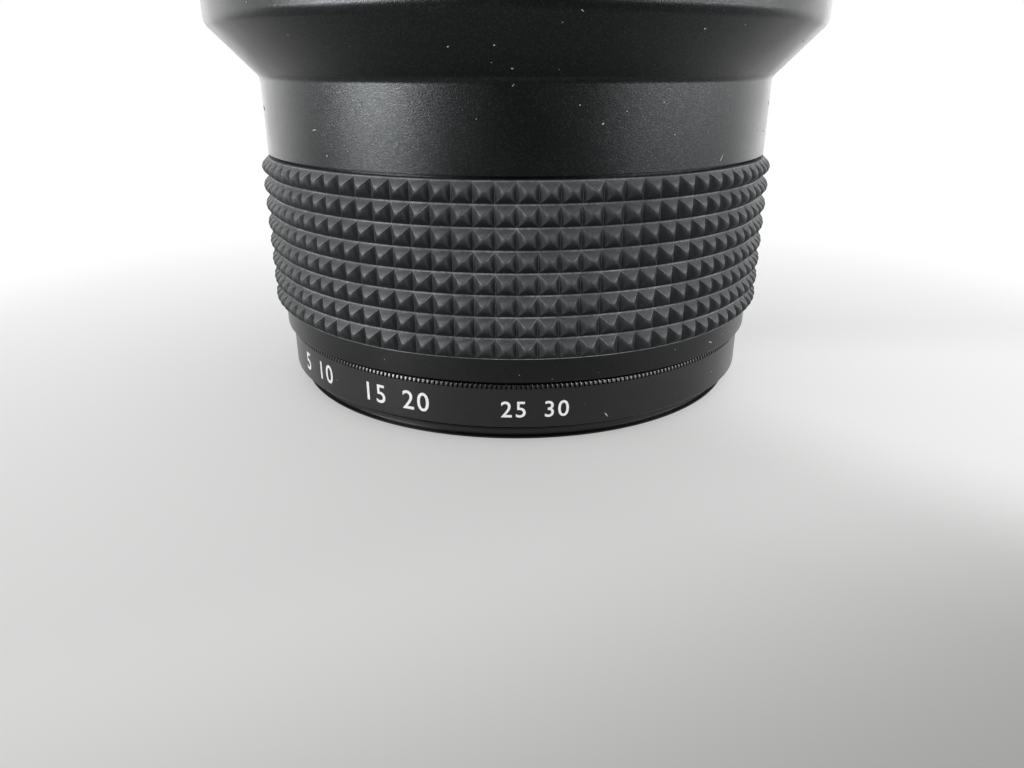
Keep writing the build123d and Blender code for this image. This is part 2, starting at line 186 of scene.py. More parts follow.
# Dust: how many flecks lie between which heights, the band's in millimetres
BARREL_FLECKS = 130
BARREL_SPAN = (SHOULDER + 0.4 * MM, FRONT_RIM - 0.6 * MM)
FLANGE_FLECKS = 22
FLANGE_SPAN = (FILTER_TOP + 0.8 * MM, GRIP_BOTTOM - 0.3 * MM)
BAND_FLECKS = 16
BAND_SPAN = (2.0, 5.3)

# Flecks: their size in millimetres, the share that are fibres, and how far each kind is drawn out
FLECK_SIZE = (0.03, 0.085)
FIBRE_SHARE = 0.2
FIBRE_STRETCH = (3, 6)
GRAIN_STRETCH = (1, 1.8)

# Lint on the flange: degrees from the camera's direction, and height in millimetres
FLANGE_LINT = ((-9.7, 8.1), (-7.5, 7.7), (0.7, 6.9), (5.2, 7.2))

# Floor: between which distances in metres each change of its colour or light runs
NEAR_TO_MIDDLE = (-0.083, -0.044)
MIDDLE_TO_FAR = (-0.035, 0.110)
GLOW_ASIDE = (-0.012, 0.016)
GLOW_FORWARD = (0.012, -0.005)
SEEN_WHITENING = (0.070, 0.098)
LIT_WHITENING = (0.10, 0.30)
STUDIO_DEPTH = (-0.10, 0.05)


# Settings, as the sidebar shows them


def count(name, description, default, **limits):
    """A whole number."""
    return bpy.props.IntProperty(name=name, description=description, default=default, **limits)


def number(name, description, default, **limits):
    """A number that may have a fraction."""
    return bpy.props.FloatProperty(name=name, description=description, default=default, **limits)


def length(name, description, default):
    """A length."""
    return number(name, description, default, unit="LENGTH")


def colour(name, description, *levels):
    """An opaque colour."""
    return bpy.props.FloatVectorProperty(
        name=name, description=description, subtype="COLOR", size=4, default=(*levels, 1.0))


class LensSizes(bpy.types.PropertyGroup):
    """Sizes of the details that are modelled on the lens."""

    turning_steps: count("Turning steps", "Facets round a turned piece", 256, min=64, max=720)
    edge_break: length("Edge break", "How far the turned edges are rounded off", 0.12 * MM)
    grip_rows: count("Grip rows", "Rows of studs up the rubber grip", 8, min=1)
    grip_columns: count("Grip columns", "Studs round the rubber grip", 92, min=12)
    grip_ledge: length("Grip ledge", "Height of the ledge between two rows of studs", 0.10 * MM)
    knurl_teeth: count("Knurl teeth", "Teeth round the filter ring's upper edge", 360, min=60)
    knurl_height: length("Knurl height", "Height of the knurled edge", 0.38 * MM)
    knurl_depth: length("Knurl depth", "Depth of a knurl notch", 0.18 * MM)
    thread_pitch: length("Thread pitch", "Rise of a thread in one turn", 0.75 * MM)
    digit_height: length("Digit height", "Height of the painted numbers", 1.75 * MM)


class LensFinish(bpy.types.PropertyGroup):
    """Colours and finishes of the lens."""

    metal_colour: colour("Black metal", "Colour of the anodised metal", 0.0197, 0.0206, 0.0211)
    metal_roughness: number("Metal roughness", "How satin the anodised metal is", 0.31,
                            min=0.0, max=1.0, subtype="FACTOR")
    rubber_colour: colour("Grip rubber", "Colour of the moulded grip", 0.0060, 0.0076, 0.0084)
    # Painted light: the colour of the rubber's faces that look up, as if lit from above
    top_lit_rubber_colour: colour("Rubber bloom", "Colour of the grip's faces that look up",
                         0.055, 0.061, 0.0645)
    # Powder colour, also used for the painted highlights on the ledges and ridges
    powder_and_highlight_colour: colour("Ledge powder", "Colour of the fine powder between the studs",
                          0.34, 0.37, 0.385)
    dust_colour: colour("Dust", "Colour of dust and lint", 0.46, 0.46, 0.44)
    paint_colour: colour("Number paint", "Colour of the painted numbers", 0.90, 0.90, 0.89)
    coating_tint: colour("Coating tint", "Colour that the glass coating reflects", 0.19, 0.32, 0.37)


class StageLook(bpy.types.PropertyGroup):
    """Camera, floor and light of the plain studio."""

    camera_distance: length("Camera distance", "From the optical axis", 94.12 * MM)
    camera_height: length("Camera height", "Above the table", 33.71 * MM)
    camera_offset: length("Camera offset", "To the side of the optical axis", -0.42 * MM)
    camera_tilt: number("Camera tilt", "How far the camera looks down", radians(22.26),
                        subtype="ANGLE")
    focal_length: number("Focal length", "On a sensor 36 mm wide, in millimetres", 27.143)
    # Painted shade: the floor darkens towards the camera
    shaded_floor_near: colour("Near floor", "Floor colour on the camera's side", 0.34, 0.338, 0.333)
    floor_middle: colour("Middle floor", "Floor colour just in front of the lens",
                         0.69, 0.69, 0.685)
    floor_far: colour("Far floor", "Floor colour behind the lens", 0.98, 0.98, 0.98)
    dark_side: number("Dark side", "Radiance of the dark room behind the camera", 0.14, min=0.0)
    bright_side: number("Bright side", "Radiance of the studio's back, as the metal reflects it",
                        2.3, min=0.0)
    left_light: number("Left light", "Radiance of the left soft box", 29.0, min=0.0)
    right_light: number("Right light", "Radiance of the right soft box", 8.4, min=0.0)


# Mesh tools


def deselect():
    """Deselects every object."""
    bpy.ops.object.select_all(action="DESELECT")


def set_mode(mode):
    """Goes to edit mode or object mode."""
    bpy.ops.object.mode_set(mode=mode)


def select_mesh():
    """Selects all of the edited mesh."""
    bpy.ops.mesh.select_all(action="SELECT")


def extrude(x, y, z):
    """Extrudes what is selected by that much."""
    bpy.ops.mesh.extrude_region_move(TRANSFORM_OT_translate={"value": (x, y, z)})


def move(x, y, z):
    """Moves what is selected."""
    bpy.ops.transform.translate(value=(x, y, z))


def resize(x, y, z, centre=ORIGIN):
    """Scales what is selected about a point."""
    bpy.ops.transform.resize(value=(x, y, z), center_override=centre)


def rotate(angle, axis):
    """Turns what is selected about the origin."""
    bpy.ops.transform.rotate(value=angle, orient_axis=axis, center_override=ORIGIN)


def name_piece(name):
    """The active object, given that name."""
    piece = bpy.context.object
    piece.name = piece.data.name = name
    return piece


def start_piece(name):
    """A mesh of one vertex at the origin, selected in edit mode, ready to be drawn on."""
    deselect()
    bpy.ops.mesh.primitive_circle_add(vertices=3, radius=MM)
    piece = name_piece(name)
    set_mode("EDIT")
    bpy.ops.mesh.select_mode(type="VERT")
    bpy.ops.mesh.merge(type="CENTER")
    return piece


def join_pieces(pieces, name):
    """Makes one piece of several."""
    deselect()
    for piece in pieces:
        piece.select_set(True)
    bpy.context.view_layer.objects.active = pieces[0]
    bpy.ops.object.join()
    name_piece(name)


def select_where(test, kind="verts"):
    """Selects the vertices, edges or faces of the edited mesh that pass the test."""
    mesh = bpy.context.object.data
    editable = bmesh.from_edit_mesh(mesh)
    for sequence in (editable.verts, editable.edges, editable.faces):
        for element in sequence:
            element.select = False
    for element in [element for element in getattr(editable, kind) if test(element)]:
        element.select_set(True)
    bmesh.update_edit_mesh(mesh)


def merge_doubles():
    """Merges the points of the edited mesh that share a place."""
    select_mesh()
    bpy.ops.mesh.remove_doubles(threshold=SAME_PLACE)


def close_mesh():
    """Closes seams and poles of the edited mesh and turns its faces outwards."""
    merge_doubles()
    bpy.ops.mesh.normals_make_consistent(inside=False)


def draw_outline(corners):
    """Extrudes the vertex from corner to corner of a closed outline in the XZ plane, then rounds.

    A corner is (radius, height) or (radius, height, rounding).
    """
    path = [corner[:2] for corner in corners]
    path.append(path[0])
    move(path[0][0], 0, path[0][1])
    for here, there in zip(path, path[1:]):
        extrude(there[0] - here[0], 0, there[1] - here[1])
    merge_doubles()
    rounded = [corner for corner in corners if len(corner) > 2]
    for rounding in sorted({corner[2] for corner in rounded}):
        places = [corner[:2] for corner in rounded if corner[2] == rounding]
        select_where(lambda v: any(hypot(v.co.x - r, v.co.z - z) < SAME_PLACE for r, z in places))
        bpy.ops.mesh.bevel(offset=rounding, segments=4, affect="VERTICES")


def spin_mesh(steps, copies=False):
    """Spins the edited mesh once round the optical axis, or copies it round, and closes it."""
    select_mesh()
    bpy.ops.mesh.spin(steps=steps, dupli=copies, angle=2 * pi, center=ORIGIN, axis=(0, 0, 1),
                      use_auto_merge=True)
    close_mesh()


def turn_piece(name, corners, steps):
    """Makes a closed turned piece with that outline, and stays in edit mode."""
    start_piece(name)
    draw_outline(corners)
    spin_mesh(steps)


def finish_piece(finish, slot, *nodes, body="converter", smooth=35):
    """Shades and finishes the active piece, and sets what carries it and what it replaces."""
    piece = bpy.context.object
    if piece.mode == "EDIT":
        set_mode("OBJECT")
    bpy.ops.object.shade_smooth_by_angle(angle=radians(smooth))
    weighting = piece.modifiers.new("Weighted normals", "WEIGHTED_NORMAL")
    weighting.keep_sharp = True
    weighting.weight = 100
    bpy.ops.object.modifier_apply(modifier=weighting.name)
    piece.data.materials.clear()
    piece.data.materials.append(finish_named(finish))
    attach(piece, body)
    if nodes:
        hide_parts(*nodes)


def wind_thread(name, wall, crest, low, high, sizes):
    """One ridge of a right-hand thread on a wall, as a closed helical bar with faded ends."""
    pitch = sizes.thread_pitch
    buried = wall + (wall - crest) * BURIED_SHARE
    half_root = HALF_ROOT * pitch
    half_crest = HALF_CREST * pitch
    piece = start_piece(name)
    draw_outline([
        (buried, low),
        (crest, low + half_root - half_crest),
        (crest, low + half_root + half_crest),
        (buried, low + 2 * half_root),
    ])
    set_mode("OBJECT")
    turns = (high - low - 2 * half_root) / pitch
    winding = piece.modifiers.new("Winding", "SCREW")
    winding.axis = "Z"
    winding.angle = 2 * pi * turns
    winding.screw_offset = pitch * turns
    winding.steps = winding.render_steps = round(sizes.turning_steps // 2 * turns)
    bpy.ops.object.modifier_apply(modifier=winding.name)
    set_mode("EDIT")
    select_where(lambda e: e.is_boundary, "edges")
    bpy.ops.mesh.fill_holes(sides=4)
    close_mesh()
    for turn in (0.0, turns):
        angle = 2 * pi * turn
        middle = Vector((buried * cos(angle), buried * sin(angle), low + half_root + pitch * turn))
        # Only the end's own corners, not those of the next turn
        select_where(lambda v: abs(v.co.z - middle.z) < 0.5 * pitch
                     and (v.co - middle).length < 2 * abs(wall - crest))
        resize(FADED_END, FADED_END, FADED_END, middle)


# Shader tools


def grey_of(level):
    """A neutral colour of that level."""
    return (level, level, level, 1.0)


class Wiring:
    """Adds nodes to one shader tree. What it returns can feed the next node."""

    def __init__(self, tree):
        self.tree = tree

    def feed(self, value, socket):
        """Links a value to a socket, or sets it there."""
        if isinstance(value, bpy.types.NodeSocket):
            self.tree.links.new(value, socket)
        else:
            socket.default_value = value

    def add(self, kind, inputs=None, **settings):
        """A shader node with its properties and inputs set."""
        node = self.tree.nodes.new("ShaderNode" + kind)
        for name, value in settings.items():
            setattr(node, name, value)
        for socket, value in (inputs or {}).items():
            self.feed(value, node.inputs[socket])
        return node

    def maths(self, operation, first, second=0.0, clamp=False):
        """A Math node's result."""
        inputs = {0: first, 1: second}
        return self.add("Math", inputs, operation=operation, use_clamp=clamp).outputs[0]

    def in_turn(self, operation, first, *others, clamp=False):
        """What several Math nodes in a row give."""
        for other in others:
            first = self.maths(operation, first, other, clamp)
        return first

    def plus(self, *values, clamp=False):
        """A sum."""
        return self.in_turn("ADD", *values, clamp=clamp)

    def minus(self, first, second):
        """A difference."""
        return self.maths("SUBTRACT", first, second)

    def times(self, *values):
        """A product."""
        return self.in_turn("MULTIPLY", *values)

    def most(self, *values):
        """The largest value."""
        return self.in_turn("MAXIMUM", *values)

    def inverse(self, value):
        """One less a value."""
        return self.minus(1.0, value)

    def step(self, value, low, high, kind="SMOOTHSTEP"):
        """Zero on low's side, one on high's side, and smooth or straight between."""
        inputs = {"Value": value, "From Min": low, "From Max": high}
        return self.add("MapRange", inputs, interpolation_type=kind).outputs["Result"]

    def mix(self, factor, first, second):
        """A colour between two, by a factor."""
        return self.add("Mix", {0: factor, 6: first, 7: second}, data_type="RGBA").outputs[2]

    def parts(self, vector):
        """The X, Y and Z of a vector."""
        return self.add("SeparateXYZ", {"Vector": vector}).outputs

    def length_of(self, vector):
        """The length of a vector."""
        return self.add("VectorMath", {0: vector}, operation="LENGTH").outputs["Value"]

    def off_axis(self, parts):
        """Distance from the optical axis."""
        flat = self.add("CombineXYZ", {"X": parts["X"], "Y": parts["Y"], "Z": 0.0})
        return self.length_of(flat.outputs[0])

    def noise(self, vector, scale, detail=2.0, roughness=0.5):
        """Cloudy noise."""
        inputs = {"Vector": vector, "Scale": scale, "Detail": detail, "Roughness": roughness}
        return self.add("TexNoise", inputs).outputs["Fac"]

    def lines(self, along, pitch, detail):
        """Noise that runs in lines across a distance."""
        inputs = {"W": self.maths("DIVIDE", along, pitch), "Scale": 1.0, "Detail": detail}
        return self.add("TexNoise", inputs, noise_dimensions="1D").outputs["Fac"]

    def cells(self, vector, scale):
        """Scattered cells: the distance from each one's middle, and a level by chance for each."""
        inputs = {"Vector": vector, "Scale": scale, "Randomness": 1.0}
        cells = self.add("TexVoronoi", inputs).outputs
        return cells["Distance"], self.add("SeparateColor", {"Color": cells["Color"]}).outputs[0]


class Material(Wiring):
    """A node material, with its Principled shader, its output and its coordinates."""

    def __init__(self, name):
        self.made = bpy.data.materials.new(name)
        self.made.use_nodes = True
        super().__init__(self.made.node_tree)
        self.tree.nodes.clear()
        self.shader = self.add("BsdfPrincipled")
        self.output = self.add("OutputMaterial", {"Surface": self.shader.outputs["BSDF"]})
        coordinates = self.add("TexCoord").outputs
        self.place = coordinates["Object"]
        self.normal = coordinates["Normal"]

    def group(self, group, **inputs):
        """Places a node group, with values on its named sockets."""
        node = self.add("Group", node_tree=group)
        self.feed(self.place, node.inputs["Vector"])
        for name, value in inputs.items():
            self.feed(value, node.inputs[name.replace("_", " ").capitalize()])
        return node.outputs

    def shade(self, **inputs):
        """Feeds the shader's named sockets, and returns the material."""
        for name, value in inputs.items():
            self.feed(value, self.shader.inputs[name.replace("_", " ")])
        return self.made

    def bump(self, height, strength, distance):
        """The normal that a height gives."""
        inputs = {"Height": height, "Strength": strength, "Distance": distance}
        return self.add("Bump", inputs).outputs["Normal"]


class Group(Wiring):
    """A node group in the making, which takes a vector and some values."""

    def __init__(self, name, values):
        super().__init__(bpy.data.node_groups.new(name, "ShaderNodeTree"))
        self.add_socket("Vector", "INPUT", "NodeSocketVector")
        for socket, default in values.items():
            self.add_socket(socket, "INPUT").default_value = default
        self.given = self.tree.nodes.new("NodeGroupInput").outputs
        self.vector = self.given["Vector"]

    def add_socket(self, name, side, kind="NodeSocketFloat"):
        """A new socket on the group's outside."""
        return self.tree.interface.new_socket(name=name, in_out=side, socket_type=kind)

    def give(self, results):
        """Puts out named values, and returns the group."""
        for name in results:
            self.add_socket(name, "OUTPUT")
        output = self.tree.nodes.new("NodeGroupOutput")
        for name, value in results.items():
            self.feed(value, output.inputs[name])
        return self.tree


def fine_grain_group():
    """Fine blasted and anodised grain: a height, a sparkle factor and a roughness shift."""
    group = Group("Fine grain", {"Grain size": 0.1 * MM})
    scale = group.maths("DIVIDE", 1.0, group.given["Grain size"])
    level = group.cells(group.vector, scale)[1]
    clouds = group.noise(group.vector, scale=180.0, detail=3.0)
    return group.give({
        "Height": group.noise(group.vector, scale, roughness=0.6),
        "Sparkle": group.maths("POWER", level, 4.0),
        "Roughness shift": group.times(group.minus(clouds, 0.5), 0.16),
    })


def dust_group():
    """Dust: a mask of patches of film, and of specks at the middles of a few cells."""
    group = Group("Dust", {"Film": 0.1, "Specks": 0.5})
    patches = group.noise(group.vector, scale=260.0, detail=4.0, roughness=0.65)
    film = group.times(group.step(patches, 0.42, 0.75), group.given["Film"])
    distance, level = group.cells(group.vector, scale=900.0)
    spot = group.inverse(group.step(distance, 0.02, 0.06))
    specks = group.times(spot, group.step(level, 0.90, 0.95), group.given["Specks"])
    return group.give({"Mask": group.plus(film, specks, clamp=True)})


def turning_group():
    """Fine tool marks that run round a turned piece: a height."""
    group = Group("Turning marks", {"Pitch": 0.08 * MM})
    place = group.parts(group.vector)
    along = group.plus(group.off_axis(place), place["Z"])
    return group.give({"Height": group.lines(along, group.given["Pitch"], detail=3.0)})


def rubber_group():
    """Moulded rubber studs: masks of their ledges, valleys, ridges and tips, and fine lines."""
    group = Group("Moulded studs", {"Row pitch": 2.0 * MM, "Ledge": 0.1 * MM, "Columns": 92.0})
    pitch, ledge, columns = (group.given[name] for name in ("Row pitch", "Ledge", "Columns"))
    place = group.parts(group.vector)
    above = group.minus(place["Z"], GRIP_BOTTOM)
    off_row = group.maths("PINGPONG", above, group.times(pitch, 0.5))
    beyond = group.minus(off_row, group.times(ledge, 0.5))
    # A ridge runs where a place is as far up its stud as it is across it
    around = group.maths("ARCTAN2", place["Y"], place["X"])
    turned = group.times(around, group.maths("DIVIDE", columns, 2 * pi))
    across = group.maths("PINGPONG", turned, 0.5)
    up = group.maths("DIVIDE", beyond, group.minus(pitch, ledge))
    off_ridge = group.maths("ABSOLUTE", group.minus(up, across))
    proud = group.minus(group.off_axis(place), STUD_BASE)
    lines = group.lines(place["Z"], 0.09 * MM, detail=2.0)
    pits = group.noise(group.vector, scale=9000.0)
    return group.give({
        "Ledge": group.inverse(group.step(beyond, 0.0, 0.03 * MM)),
        "Valley": group.inverse(group.step(proud, 0.03 * MM, 0.06 * MM)),
        "Ridge": group.inverse(group.step(off_ridge, 0.010, 0.035)),
        "Tip": group.step(proud, 0.60 * MM, 0.80 * MM),
        "Height": group.plus(lines, group.times(pits, 0.6)),
    })


class Finishes:
    """Makes the lens's materials."""

    def __init__(self, finish, sizes):
        self.finish = finish
        self.sizes = sizes
        self.grain = fine_grain_group()
        self.dust = dust_group()
        self.turning = turning_group()
        self.studs = rubber_group()

    def dusted(self, material, shade, film, specks):
        """A dust mask, and the colour that dust gives a shade."""
        mask = material.group(self.dust, film=film, specks=specks)["Mask"]
        return mask, material.mix(mask, shade, self.finish.dust_colour)

    def black_metal(self, name, shade, roughness, grain_size, grain, marks, specks, film=0.0):
        """Black anodised aluminium with grain, tool marks and some dust."""
        metal = Material(name)
        grains = metal.group(self.grain, grain_size=grain_size)
        dull, glint = ([share * level for level in shade[:3]] + [1.0] for share in (0.9, 1.6))
        grained = metal.mix(metal.times(grains["Sparkle"], grain), dull, glint)
        dust, dusty = self.dusted(metal, grained, film, specks)
        height = metal.plus(metal.times(grains["Height"], grain),
                            metal.times(metal.group(self.turning)["Height"], marks))
        return metal.shade(
            Base_Color=dusty, Metallic=metal.inverse(dust),
            Roughness=metal.plus(grains["Roughness shift"], roughness, metal.times(dust, 0.5)),
            Normal=metal.bump(height, strength=0.6, distance=0.03 * MM))

    def satin_black(self):
        """The barrel's satin finish."""
        return self.black_metal("satin_black_metal", self.finish.metal_colour,
                                self.finish.metal_roughness, grain_size=0.10 * MM, grain=1.0,
                                marks=0.1, specks=0.5)

    def ring_black(self):
        """The smoother finish of the filter ring."""
        return self.black_metal("filter_black_metal", (0.039, 0.039, 0.040), 0.30,
                                grain_size=0.06 * MM, grain=0.3, marks=0.2, specks=0.4)

    def flange_black(self):
        """The duller finish of the ring under the grip."""
        return self.black_metal("flange_black_metal", (0.0240, 0.0243, 0.0245), 0.30,
                                grain_size=0.09 * MM, grain=0.4, marks=0.2, specks=0.4)

    def matt_black(self):
        """The dull black inside the lens."""
        return self.black_metal("matt_black_metal", (0.022, 0.022, 0.022), 0.55,
                                grain_size=0.06 * MM, grain=0.3, marks=0.4, specks=0.1, film=0.01)

    def grip_rubber(self):
        """Moulded rubber: painted lighter on the faces that look up and darker below, as light from
        above; powder and a painted highlight on the ledges.
        """
        rubber = Material("grip_rubber")
        sizes, finish = self.sizes, self.finish
        studs = rubber.group(self.studs, ledge=sizes.grip_ledge, columns=sizes.grip_columns,
                             row_pitch=(GRIP_TOP - GRIP_BOTTOM) / sizes.grip_rows)
        facing = rubber.parts(rubber.normal)["Z"]
        # Painted light from above: the faces that look up are painted lighter, and the stud tips
        # lighter still as a painted highlight
        upwards = rubber.step(facing, -0.30, 0.75)
        patches = rubber.noise(rubber.place, scale=3500.0, detail=4.0, roughness=0.7)
        patchy = rubber.step(patches, 0.35, 0.65)
        handling = rubber.noise(rubber.place, scale=210.0)
        handled = rubber.step(handling, 0.38, 0.62)
        top_light_level = rubber.plus(0.50, rubber.times(patchy, 0.35), rubber.times(handled, 0.25))
        wear_and_highlight = rubber.times(studs["Tip"], 0.15)
        top_light = rubber.plus(rubber.times(upwards, top_light_level), wear_and_highlight, clamp=True)
        top_lit_rubber = rubber.mix(top_light, finish.rubber_colour, finish.top_lit_rubber_colour)
        # Powder lies in the valleys, powder and a painted highlight on the ledges, and a painted
        # highlight along the ridges that look up
        ridge = rubber.times(studs["Ridge"], rubber.times(
            rubber.step(facing, 0.15, 0.40), rubber.step(handling, 0.45, 0.58)))
        ledge = rubber.times(studs["Ledge"], rubber.plus(0.45, rubber.times(handled, 0.55)))
        settled_and_highlit = rubber.most(ledge, rubber.times(studs["Valley"], 0.30), rubber.times(ridge, 0.85))
        powder_and_highlight = rubber.times(settled_and_highlit, rubber.plus(0.40, rubber.times(patchy, 0.5)))
        powdered_and_highlit = rubber.mix(powder_and_highlight, top_lit_rubber, finish.powder_and_highlight_colour)
        return rubber.shade(
            Base_Color=self.dusted(rubber, powdered_and_highlit, film=0.01, specks=0.5)[1],
            Roughness=rubber.minus(0.58, rubber.times(studs["Tip"], 0.1)), Specular_IOR_Level=0.18,
            Normal=rubber.bump(studs["Height"], strength=0.6, distance=0.02 * MM))

    def number_paint(self):
        """White filling of the numbers."""
        paint = Material("number_paint")
        wear = paint.step(paint.noise(paint.place, scale=4000.0, detail=3.0), 0.60, 0.80)
        wear_and_highlight = paint.mix(wear, self.finish.paint_colour, (0.62, 0.62, 0.60, 1.0))
        return paint.shade(Base_Color=wear_and_highlight, Roughness=0.5)

    def lint(self):
        """Dust flecks and lint."""
        fluff = Material("lint")
        shades = fluff.noise(fluff.place, scale=900.0)
        tone = fluff.mix(shades, (0.30, 0.29, 0.27, 1.0), self.finish.dust_colour)
        return fluff.shade(Base_Color=tone, Roughness=0.8)

    def glass(self, name, tint, roughness):
        """Clear glass whose coating tints what it reflects, with faint smears."""
        glass = Material(name)
        smears = glass.step(glass.noise(glass.place, scale=90.0, detail=3.0), 0.5, 0.8)
        return glass.shade(
            Base_Color=(0.97, 0.985, 0.98, 1.0), Roughness=glass.times(smears, roughness),
            Transmission_Weight=1.0, IOR=1.52, Specular_Tint=tint)

    def coated_glass(self):
        """The coated lens glasses."""
        return self.glass("coated_glass", self.finish.coating_tint, 0.04)

    def filter_glass(self):
        """The filter's plain disc."""
        return self.glass("filter_glass", (0.55, 0.50, 0.60, 1.0), 0.03)

    def plain_metal(self, name, shade, roughness):
        """A small metal piece with a rolled or turned surface."""
        metal = Material(name)
        grains = metal.group(self.grain, grain_size=0.05 * MM)
        return metal.shade(
            Base_Color=shade, Metallic=1.0,
            Roughness=metal.plus(grains["Roughness shift"], roughness),
            Normal=metal.bump(grains["Height"], strength=0.3, distance=0.01 * MM))

    def brass(self):
        """The rolled brass shim."""
        return self.plain_metal("brass", (0.62, 0.44, 0.18, 1.0), 0.35)

    def steel(self):
        """The blackened grub screws."""
        return self.plain_metal("steel", (0.16, 0.16, 0.165, 1.0), 0.35)

    def black_film(self):
        """The black seat under the front glass, and the blackened edges of the glasses."""
        film = Material("black_film")
        dusty = self.dusted(film, (0.018, 0.018, 0.018, 1.0), film=0.02, specks=0.1)[1]
        return film.shade(Base_Color=dusty, Roughness=0.7)


@cache
def all_finishes():
    """The finishes, in the sidebar's colours."""
    return Finishes(bpy.context.scene.lens_finish, bpy.context.scene.lens_sizes)


@cache
def finish_named(name):
    """A material by name, made at its first use."""
    return getattr(all_finishes(), name)()


# Operators, one for each piece or group of like pieces


class LENS_OT_stage(bpy.types.Operator):
    """Sets up the camera, the pale floor, the white background and the soft light"""

    bl_idname = "lens.stage"
    bl_label = "Stage"

    def execute(self, context):
        look = context.scene.stage_look
        self.add_camera(look)
        self.add_floor(look)
        self.set_world(look)
        self.add_soft_box("left_soft_box", look.left_light, turn=radians(60), width=0.46)
        self.add_soft_box("right_soft_box", look.right_light, turn=radians(-70), width=0.75)
        context.scene.view_settings.view_transform = "Standard"
        return {"FINISHED"}

    def add_camera(self, look):
        """The camera stands where the photograph was taken from."""
        deselect()
        bpy.ops.object.camera_add(
            location=(look.camera_offset, -look.camera_distance, look.camera_height),
            rotation=(pi / 2 - look.camera_tilt, 0, 0))
        bpy.context.scene.camera = bpy.context.object
        bpy.context.object.name = "photo_camera"
        camera = bpy.context.object.data
        camera.sensor_width = 36
        camera.sensor_fit = "HORIZONTAL"
        camera.lens = look.focal_length
        camera.clip_start = 2 * MM
        camera.clip_end = 20

    def add_floor(self, look):
        """A wide disc with painted light and shade: darker towards the camera, grey in front of the
        lens and white behind it and far away.
        """
        deselect()
        bpy.ops.mesh.primitive_circle_add(vertices=96, radius=5, fill_type="NGON")
        floor = bpy.context.object
        floor.name = "floor"
        paper = Material("floor")
        across, along = (paper.parts(paper.place)[axis] for axis in "XY")
        back = paper.plus(along, paper.times(paper.maths("ABSOLUTE", across), 0.6))
        leaning = paper.minus(along, paper.times(across, 0.45))
        # Painted shade: the floor darkens from the middle grey towards the camera
        front = paper.mix(paper.step(leaning, *NEAR_TO_MIDDLE), look.shaded_floor_near, look.floor_middle)
        even = paper.mix(paper.step(back, *MIDDLE_TO_FAR, kind="LINEAR"), front, look.floor_far)
        # The right soft box lights the floor beside the lens more
        glow = paper.times(paper.step(paper.plus(across, along), *GLOW_ASIDE),
                           paper.step(along, *GLOW_FORWARD))
        grey = paper.mix(paper.times(glow, 0.65), even, look.floor_far)
        paper.shade(Base_Color=grey, Roughness=0.7, Specular_IOR_Level=0.2)
        ray = paper.add("LightPath").outputs
        glossy = ray["Is Glossy Ray"]
        seen = paper.most(ray["Is Camera Ray"], ray["Is Transmission Ray"])
        studio = paper.mix(paper.step(along, *STUDIO_DEPTH),
                           grey_of(look.dark_side), grey_of(look.bright_side))
        background = paper.mix(glossy, WHITE, studio)
        # What the metal reflects turns to the studio further out than what the camera sees
        away = paper.length_of(paper.place)
        far = paper.most(paper.times(paper.step(away, *SEEN_WHITENING), seen),
                         paper.step(away, *LIT_WHITENING))
        own = paper.add("Emission", {"Color": paper.mix(far, grey, background), "Strength": 1.0})
        # Near the lens half of the floor's light is its own, so the shadow on it stays soft
        share = paper.times(paper.most(seen, glossy), paper.plus(paper.times(far, 0.5), 0.5))
        blend = paper.add("MixShader", {0: share, 1: paper.shader.outputs[0], 2: own.outputs[0]})
        paper.feed(blend.outputs[0], paper.output.inputs["Surface"])
        floor.data.materials.append(paper.made)

    def set_world(self, look):
        """White all round, but darker on the camera's side where the metal reflects it."""
        world = bpy.data.worlds.new("studio")
        world.use_nodes = True
        sky = Wiring(world.node_tree)
        sky.tree.nodes.clear()
        towards = sky.times(sky.parts(sky.add("TexCoord").outputs["Generated"])["Y"], -1.0)
        reflected = sky.mix(sky.step(towards, 0.60, 0.99),
                            grey_of(look.bright_side), grey_of(look.dark_side))
        shown = sky.mix(sky.add("LightPath").outputs["Is Glossy Ray"], WHITE, reflected)
        background = sky.add("Background", {"Color": shown, "Strength": 1.0})
        sky.add("OutputWorld", {"Surface": background.outputs[0]})
        bpy.context.scene.world = world

    def add_soft_box(self, name, radiance, turn, width):
        """A tall soft box at the side, turned that far from the camera's direction."""
        distance, height, middle = 0.8, 0.70, 0.335
        deselect()
        bpy.ops.object.light_add(
            type="AREA", location=(-distance * sin(turn), -distance * cos(turn), middle),
            rotation=(pi / 2 - atan2(middle, distance), 0, -turn))
        box = bpy.context.object
        box.name = name
        box.data.shape = "RECTANGLE"
        box.data.size = width
        box.data.size_y = height
        box.data.energy = radiance * pi * width * height
        # The world lights the floor and the rubber; the boxes are there for the gloss
        box.visible_diffuse = False


